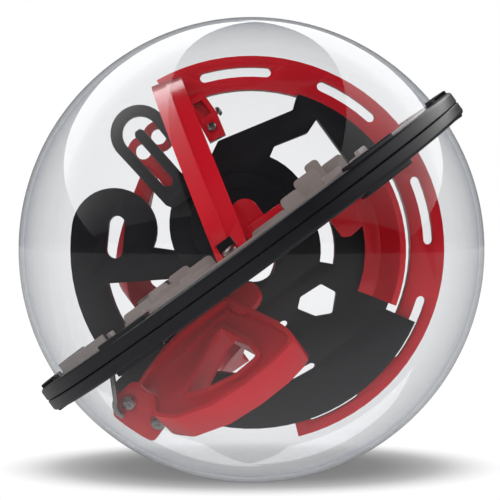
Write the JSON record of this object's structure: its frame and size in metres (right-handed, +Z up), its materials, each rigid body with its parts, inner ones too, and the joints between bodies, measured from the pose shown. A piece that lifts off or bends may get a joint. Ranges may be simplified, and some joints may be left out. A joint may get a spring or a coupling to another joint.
{
  "type": "clear globe marble maze puzzle",
  "caption": "Hand-held clear globe puzzle: a steel marble is tilted along red tracks, gates and fenced lanes on a disc clamped between two domes.",
  "frame": {"origin": "middle of the object's box at its lowest point, where the lower dome touches the table", "axes": "+Z up, +Y away from the viewer, +X to the right; the ring's plane leans 36.2 degrees about Y, high side at +X"},
  "size_m": [0.1784, 0.194, 0.1788],
  "materials": {
    "clear_plastic": "clear, polished",
    "black_plastic": "satin black",
    "taupe_plastic": "satin warm grey",
    "red_plastic": "glossy red",
    "screw_steel": "bright",
    "marble_steel": "polished"
  },
  "bodies": {
    "globe": {"dome_upper": "clear_plastic", "dome_lower": "clear_plastic", "ring_upper": "black_plastic", "ring_lower": "black_plastic", "upper_plate": "black_plastic", "hub_boss": "black_plastic", "fork_gate": "black_plastic", "lower_plate": "black_plastic", "corner_post_1": "black_plastic", "corner_post_2": "black_plastic", "maze_disc": "taupe_plastic", "loop_gate": "red_plastic", "rear_chute": "red_plastic", "track_ring_upper": "red_plastic", "track_ring_lower": "red_plastic", "front_arch": "red_plastic", "arch_bracket": "red_plastic", "tunnel_hood": "red_plastic", "floor_rail": "red_plastic", "hook_track": "red_plastic", "boat_tray": "red_plastic", "corner_plate": "red_plastic", "rear_ramp": "red_plastic", "ring_screw_1": "screw_steel", "ring_screw_2": "screw_steel", "ring_screw_3": "screw_steel", "ring_screw_4": "screw_steel", "ring_screw_5": "screw_steel", "ring_screw_6": "screw_steel", "fork_screw": "screw_steel", "arch_screw": "screw_steel", "bracket_screw_1": "screw_steel", "bracket_screw_2": "screw_steel", "corner_screw_1": "screw_steel", "corner_screw_2": "screw_steel", "corner_strip": "screw_steel"},
    "marble": {"marble": "marble_steel"}
  },
  "joints": [
    {"name": "marble_lane", "type": "hinge", "parent": "globe", "child": "marble", "pos_m": [0, 0, 0.0895], "axis": [-0.5906, 0, 0.807], "range_deg": [-170, 170]}
  ]
}
